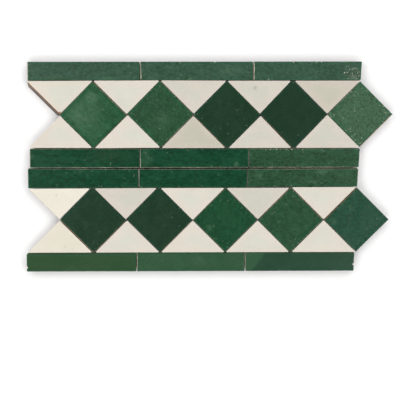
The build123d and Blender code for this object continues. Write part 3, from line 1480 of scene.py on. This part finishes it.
@dataclass
class Studio:
    """Floor, light and camera.

    Attributes:
        aim: The point that the camera looks at, in metres.
        distance: How far away it is.
        tilt: How far it leans over from straight above, in degrees.
        pan: How far it leans sideways.
        roll: How far it is turned about its own line of sight.
        lens: Focal length in millimetres.
        sensor: Width of the camera's film in millimetres.
        floor: Side of the floor.
        floor_drop: How far it lies below the tiles' backs.
        floor_tone: Its linear red, green and blue.
        floor_rough: Its roughness.
        floor_gloss: Its gloss.
        key: Power of a soft light, in watts.
        lamps: Each soft light's name, its direction from the panel in degrees, and its share of that power.
        lamp_size: Side of a soft light.
        lamp_reach: How far to the side it hangs, and how high.
        sky: Strength of the light from the horizon.
        zenith: Strength of the light from straight above.
        dim_span: Heights in the sky between which the one turns into the other.
    """

    aim: tuple[float, float, float] = (-12.24 * MM, -44.8 * MM, TOP)
    distance: float = 1.2936
    tilt: float = 4.578
    pan: float = 0.448
    roll: float = 0.09
    lens: float = 85.0
    sensor: float = 36.0
    floor: float = 8.0
    floor_drop: float = 0.1 * MM
    floor_tone: Colour = (0.96, 0.96, 0.96)
    floor_rough: float = 0.9
    floor_gloss: float = 0.1
    key: float = 10.8
    lamps: tuple[tuple[str, float, float], ...] = (
        ("left", 157, 1.1), ("far", 67, 1.05), ("right", -23, 0.95), ("near", 247, 0.9)
    )
    lamp_size: float = 1.3
    lamp_reach: tuple[float, float] = (1.25, 1.3)
    sky: float = 0.54
    zenith: float = 0.075
    dim_span: tuple[float, float] = (0.55, 0.95)

    def build(self) -> None:
        """Sets the studio up."""
        bpy.context.scene.view_settings.view_transform = "Standard"
        bpy.context.scene.view_settings.look = "None"
        self.lay_floor()
        self.hang_lights()
        self.light_room()
        self.set_camera()

    def lay_floor(self) -> None:
        """Lays a plain pale floor under the panel."""
        bpy.ops.object.select_all(action="DESELECT")
        bpy.ops.mesh.primitive_plane_add(size=self.floor, location=(0.0, 0.0, -self.floor_drop))
        floor = bpy.context.active_object
        floor.name = "floor"
        paint = bpy.data.materials.new("pale floor")
        paint.use_nodes = True
        shader = paint.node_tree.nodes["Principled BSDF"]
        shader.inputs["Base Color"].default_value = (*self.floor_tone, 1.0)
        shader.inputs["Roughness"].default_value = self.floor_rough
        shader.inputs["Specular IOR Level"].default_value = self.floor_gloss
        floor.data.materials.append(paint)

    def hang_lights(self) -> None:
        """Hangs four broad soft lights around the panel."""
        aside, height = self.lamp_reach
        for name, turn, share in self.lamps:
            lamp = bpy.data.lights.new(f"{name} soft light", "AREA")
            lamp.shape = "SQUARE"
            lamp.size = self.lamp_size
            lamp.energy = self.key * share
            light = bpy.data.objects.new(lamp.name, lamp)
            bpy.context.scene.collection.objects.link(light)
            angle = math.radians(turn)
            light.location = (aside * math.cos(angle), aside * math.sin(angle), height)
            light.rotation_euler = (-light.location).to_track_quat("-Z", "Y").to_euler()

    def light_room(self) -> None:
        """Fills the room with soft light that is dim straight above."""
        world = bpy.data.worlds.new("soft room")
        bpy.context.scene.world = world
        world.use_nodes = True
        bench = NodeBench(world.node_tree)
        where = bench.add("ShaderNodeTexCoord").outputs["Generated"]
        parts = bench.add("ShaderNodeSeparateXYZ")
        bench.feed(parts.inputs[0], where)
        strength = bench.span(parts.outputs[2], *self.dim_span, self.sky, self.zenith)
        light = bench.add("ShaderNodeBackground")
        bench.feed(light.inputs["Color"], (1.0, 1.0, 1.0))
        bench.feed(light.inputs["Strength"], strength)
        out = bench.add("ShaderNodeOutputWorld")
        bench.feed(out.inputs["Surface"], light.outputs[0])

    def set_camera(self) -> None:
        """Sets the camera almost straight above the panel."""
        camera = bpy.data.cameras.new("camera")
        camera.lens = self.lens
        camera.sensor_width = self.sensor
        view = bpy.data.objects.new("camera", camera)
        bpy.context.scene.collection.objects.link(view)
        tilt, pan = math.radians(self.tilt), math.radians(self.pan)
        ahead = Vector((math.sin(pan), -math.sin(tilt), -1.0)).normalized()
        level = ahead.cross(Vector((0.0, 1.0, 0.0))).normalized()
        right = Matrix.Rotation(math.radians(self.roll), 3, ahead) @ level
        up = right.cross(ahead)
        view.location = Vector(self.aim) - ahead * self.distance
        view.rotation_euler = Matrix((right, up, -ahead)).transposed().to_euler()
        bpy.context.scene.camera = view


UPPER = Course(
    name="upper",
    outer=2,
    head=(Glaze.GREY, Glaze.GREY, Glaze.GREY),
    foot=(Glaze.PINE, Glaze.PINE, Glaze.MOSS),
    squares=(Glaze.FERN, Glaze.LEAF, Glaze.BOTTLE, Glaze.NIGHT, Glaze.SAGE),
    head_triangles=(Glaze.IVORY, Glaze.IVORY, Glaze.PARCHMENT, Glaze.PARCHMENT, Glaze.SAND),
    foot_triangles=(Glaze.IVORY, Glaze.IVORY, Glaze.SAND, Glaze.PARCHMENT, Glaze.PARCHMENT),
    bared={
        "head_strip_1": (0.2, 0.0, 0.0, 0.9),
        "head_strip_2": (0.2, 0.0, 0.0, 2.4),
        "head_strip_3": (0.2, 0.2, 0.0, 2.2),
        "foot_strip_1": (0.7, 0.0, 0.3, 1.0),
        "foot_strip_2": (0.7, 0.4, 0.2, 1.3),
        "foot_strip_3": (0.7, 0.2, 0.4, 0.35),
        "square_1": (0.5, 0.9, 0.0, 0.0),
        "square_2": (0.7, 0.5, 0.0, 0.0),
        "square_3": (0.0, 0.0, 0.0, 0.5),
        "square_4": (0.0, 0.0, 0.0, 0.5),
        "square_5": (1.3, 0.0, 0.5, 0.0),
        "head_triangle_1": (0.0, 0.0, 0.7),
    },
    marks={
        "head_strip_1": (
            Mark(Flaw.THIN, -38, -9, 4, drawn=3, strength=0.6),
            Mark(Flaw.THIN, 32, -10, 4, drawn=3, strength=0.6),
            Mark(Flaw.IRON, -30, -10, 4, drawn=6),
            Mark(Flaw.IRON, -71, -3, 5),
        ),
        "head_strip_2": (
            *nicks((25.4,), 12.6, 1.2, 0.9),
            Mark(Flaw.THIN, -20.8, -5, 3, strength=0.7),
            Mark(Flaw.THIN, -7.9, -11, 3, drawn=2),
            Mark(Flaw.THIN, 48, 0, 10, drawn=2.5, strength=0.6),
        ),
        "head_strip_3": (
            *nicks((-46.8, -17.8, 13, 20), 12.2, 1.1, 0.7),
            *nicks((11.6,), -12.6, 1.2, 0.9),
            Mark(Flaw.CHIP, -52, -10.8, 1.3, strength=0.6),
            Mark(Flaw.PITS, 64.4, -3.3, 9.5, soft=1.0),
            *nicks((54.2, 56.8), 6.6, 1.2, 0.0, 0.7),
            *nicks((53.4, 57.6, 69.8), 2.4, 1.2, 0.0, 0.7),
            *nicks((55.2, 51.2), -2.2, 1.2, 0.0, 0.7),
            *nicks((54.0, 57.4), -6.4, 1.2, 0.0, 0.7),
            *nicks((56.4, 61.4, 67.6), -10.2, 1.2, 0.0, 0.7),
            Mark(Flaw.THIN, 62, -11, 3.5, drawn=3),
            Mark(Flaw.THIN, 50, 12.4, 1.6, drawn=6),
        ),
        "foot_strip_1": (
            Mark(Flaw.IRON, 36, 3, 15, drawn=2.8, soft=0.9),
            Mark(Flaw.THIN, -71, 2, 5, strength=0.5),
        ),
        "foot_strip_2": (
            Mark(Flaw.THIN, -68, 0, 16, soft=0.9, strength=0.6),
            Mark(Flaw.THIN, 58, -9, 5, strength=0.7),
        ),
        "foot_strip_3": nicks((-52, -45.8, -36.9, -32.1, -23.2, -16.4, -6.8, -1.4), 12.0, 1.1, 0.5),
        "square_1": (
            Mark(Flaw.THIN, -16, 1, 30, soft=0.9, strength=0.75),
            Mark(Flaw.THIN, -4, 22, 12),
            Mark(Flaw.POOL, 27, -2, 22, soft=0.8),
        ),
        "square_2": (Mark(Flaw.THIN, 0, -6, 16, strength=0.4),),
        "square_5": (
            Mark(Flaw.CHIP, 3, -37, 1.2, strength=0.7),
            Mark(Flaw.CHIP, -8, -26, 1.0, strength=0.7),
            Mark(Flaw.CHIP, -13, -20, 0.9, strength=0.7),
        ),
        "head_triangle_1": (Mark(Flaw.CHIP, 0.4, -20.0, 3.0),),
        "head_triangle_4": (Mark(Flaw.SOIL, -7.2, 13, 4.5, soft=1.0),),
        "foot_triangle_2": (Mark(Flaw.SOIL, 6, -15, 1.1, soft=0.5),),
    },
    proud={
        "head_strip_1": (-0.6, 0.5, 0.0, 0.0),
        "head_strip_2": (-1.4, 0.5, 0.0, 0.0),
        "head_strip_3": (-0.8, 0.9, 0.0, 0.0),
        "foot_strip_1": (0.4, 0.5, 0.0, 0.0),
        "foot_strip_2": (0.4, 0.1, 0.0, 0.0),
        "foot_strip_3": (0.4, 0.95, 0.0, 0.0),
        "square_1": (0.1, 0.0, 1.4, 1.2),
        "square_2": (0.1, 0.7, 1.5, -0.5),
        "square_3": (0.9, 0.3, 1.2, 1.4),
        "square_4": (1.2, 0.8, 3.2, 0.8),
        "square_5": (-0.4, -0.35, 0.8, -0.3),
    },
    lean={
        "head_strip_1": (-0.8, 0.0, 0.0, 0.0),
        "head_strip_2": (0.6, 0.0, 0.0, 0.0),
        "head_strip_3": (0.1, 1.45, 0.0, 0.0),
        "foot_strip_3": (0.0, 1.55, 0.0, 0.0),
        "square_4": (-1.2, 0.0, -1.6, 1.0),
    },
    head_rooms=(1.3, 1.3, 1.2, 1.1, 1.1),
    seats={
        "foot": (0.2, 0.2),
        "foot_triangle_1": (-0.4, -0.2),
        "foot_triangle_2": (0.2, -0.4),
        "head": (1.2, 1.2),
        "head_triangle_1": (1.1, 1.5),
        "head_triangle_2": (1.55, 1.8),
        "head_triangle_3": (1.8, 1.4),
    },
    splay=4.6 * MM,
)
LOWER = Course(
    name="lower",
    outer=0,
    head=(Glaze.PINE, Glaze.PINE, Glaze.MOSS),
    foot=(Glaze.OLIVE, Glaze.LAUREL, Glaze.TEAL),
    squares=(Glaze.BOTTLE, Glaze.BOTTLE, Glaze.JADE, Glaze.LEAF, Glaze.SEA),
    head_triangles=(Glaze.CHALK, Glaze.PARCHMENT, Glaze.IVORY, Glaze.PARCHMENT, Glaze.IVORY),
    foot_triangles=(Glaze.MILK, Glaze.IVORY, Glaze.IVORY, Glaze.IVORY, Glaze.IVORY),
    bared={
        "head_strip_1": (0.0, 0.0, 0.45, 0.2),
        "head_strip_2": (0.0, 0.0, 0.45, 1.3),
        "head_strip_3": (0.0, 0.0, 0.5, 0.7),
        "foot_strip_1": (0.0, 0.0, 0.2, 0.0),
        "foot_strip_2": (0.0, 0.2, 0.0, 1.4),
        "foot_strip_3": (0.0, 0.0, 0.2, 1.4),
        "square_1": (0.6, 0.0, 0.0, 1.0),
        "square_2": (0.5, 0.0, 0.0, 0.0),
        "square_3": (0.4, 0.4, 0.5, 0.3),
        "square_4": (0.5, 0.7, 0.7, 0.2),
        "square_5": (0.0, 0.0, 1.0, 0.3),
        "head_triangle_1": (0.0, 0.0, 0.6),
    },
    marks={
        "head_strip_1": (Mark(Flaw.THIN, -6, 9, 4, drawn=2, strength=0.4),),
        "head_strip_3": (
            Mark(Flaw.THIN, -60, 3, 5, drawn=1.6, strength=0.7),
            Mark(Flaw.THIN, 27, 8, 4, drawn=3, strength=0.8),
            Mark(Flaw.THIN, 14, -6, 3, drawn=4, strength=0.8),
        ),
        "foot_strip_1": (
            Mark(Flaw.CHIP, -75.5, -7.7, 1.4, 1.6),
            Mark(Flaw.CHIP, -75.5, 13, 2.0, 1.2),
            *nicks((-56.3,), 12.6, 1.2, 0.8),
        ),
        "foot_strip_2": (
            Mark(Flaw.POOL, -10, -10, 6, drawn=6, strength=0.5),
            Mark(Flaw.THIN, 10, 2, 8, drawn=2, strength=0.3),
        ),
        "foot_strip_3": (
            Mark(Flaw.CHIP, 74.5, -4, 1.8, 1.4),
            # A painted reflection: a smooth lighter patch with a straight diagonal edge.
            Mark(Flaw.WASH, -148.6, 73.3, 120, soft=0.03, strength=0.8),
        ),
        "square_3": (Mark(Flaw.POOL, -3, -31, 10), Mark(Flaw.THIN, -22, -11, 6, strength=0.45)),
        "square_4": (Mark(Flaw.POOL, 6, 0, 64), Mark(Flaw.POOL, 30, -7, 14)),
        "square_5": (Mark(Flaw.THIN, -8, 16, 6, strength=0.35), Mark(Flaw.THIN, -30, -2, 6, strength=0.4)),
        "head_triangle_1": (Mark(Flaw.SOIL, -4.8, 11.9, 2.2, soft=1.0),),
        "foot_triangle_1": (
            Mark(Flaw.SOIL, 16.3, -17, 1.0, soft=0.5),
            Mark(Flaw.SOIL, 6.8, -13.7, 2.0, soft=1.0),
        ),
    },
    proud={
        "head_strip_1": (0.9, 0.5, -0.9, 0.0),
        "head_strip_2": (0.3, 0.5, -0.9, 0.0),
        "head_strip_3": (-0.4, 1.75, -0.9, 0.0),
        "foot_strip_1": (0.0, -0.7, -0.6, 0.0),
        "foot_strip_2": (0.0, -0.5, -0.6, 1.2),
        "foot_strip_3": (0.0, 0.6, -0.6, 2.2),
        "square_1": (1.2, 0.4, 1.5, 0.9),
        "square_2": (1.2, 0.6, 1.2, -0.5),
        "square_3": (0.2, 0.2, -0.5, 0.0),
        "square_4": (0.2, 0.0, 0.8, 1.2),
        "square_5": (-0.4, -0.4, 0.7, 0.8),
    },
    lean={
        "head_strip_1": (-0.6, 0.0, 0.8, 0.0),
        "head_strip_3": (-0.3, 1.2, 0.0, 0.0),
        "foot_strip_2": (0.0, -1.2, 0.0, 0.0),
        "foot_strip_3": (0.0, 0.8, 0.0, -1.2),
    },
    foot_room=1.0,
    head_rooms=(-0.1, 0.2, 0.2, 0.9, 0.9),
    fill=0.25,
    seats={
        "foot": (0.85, 0.85),
        "head": (0.0, 0.0),
        "head_triangle_1": (-0.6, -0.25),
        "head_triangle_2": (-0.25, 0.0),
        "head_triangle_5": (0.75, 0.9),
    },
)


def main() -> None:
    """Builds the tiles of both courses, then the studio."""
    logging.basicConfig(level=logging.INFO, format="%(name)s: %(message)s")
    shop = GlazeShop()
    for course in (UPPER, LOWER):
        for tile in course.tiles():
            piece = tile.build(shop)
            log.info("%s, %s, %d faces", piece.name, tile.glaze.value.label, len(piece.data.polygons))
    Studio().build()


if __name__ == "__main__":
    main()
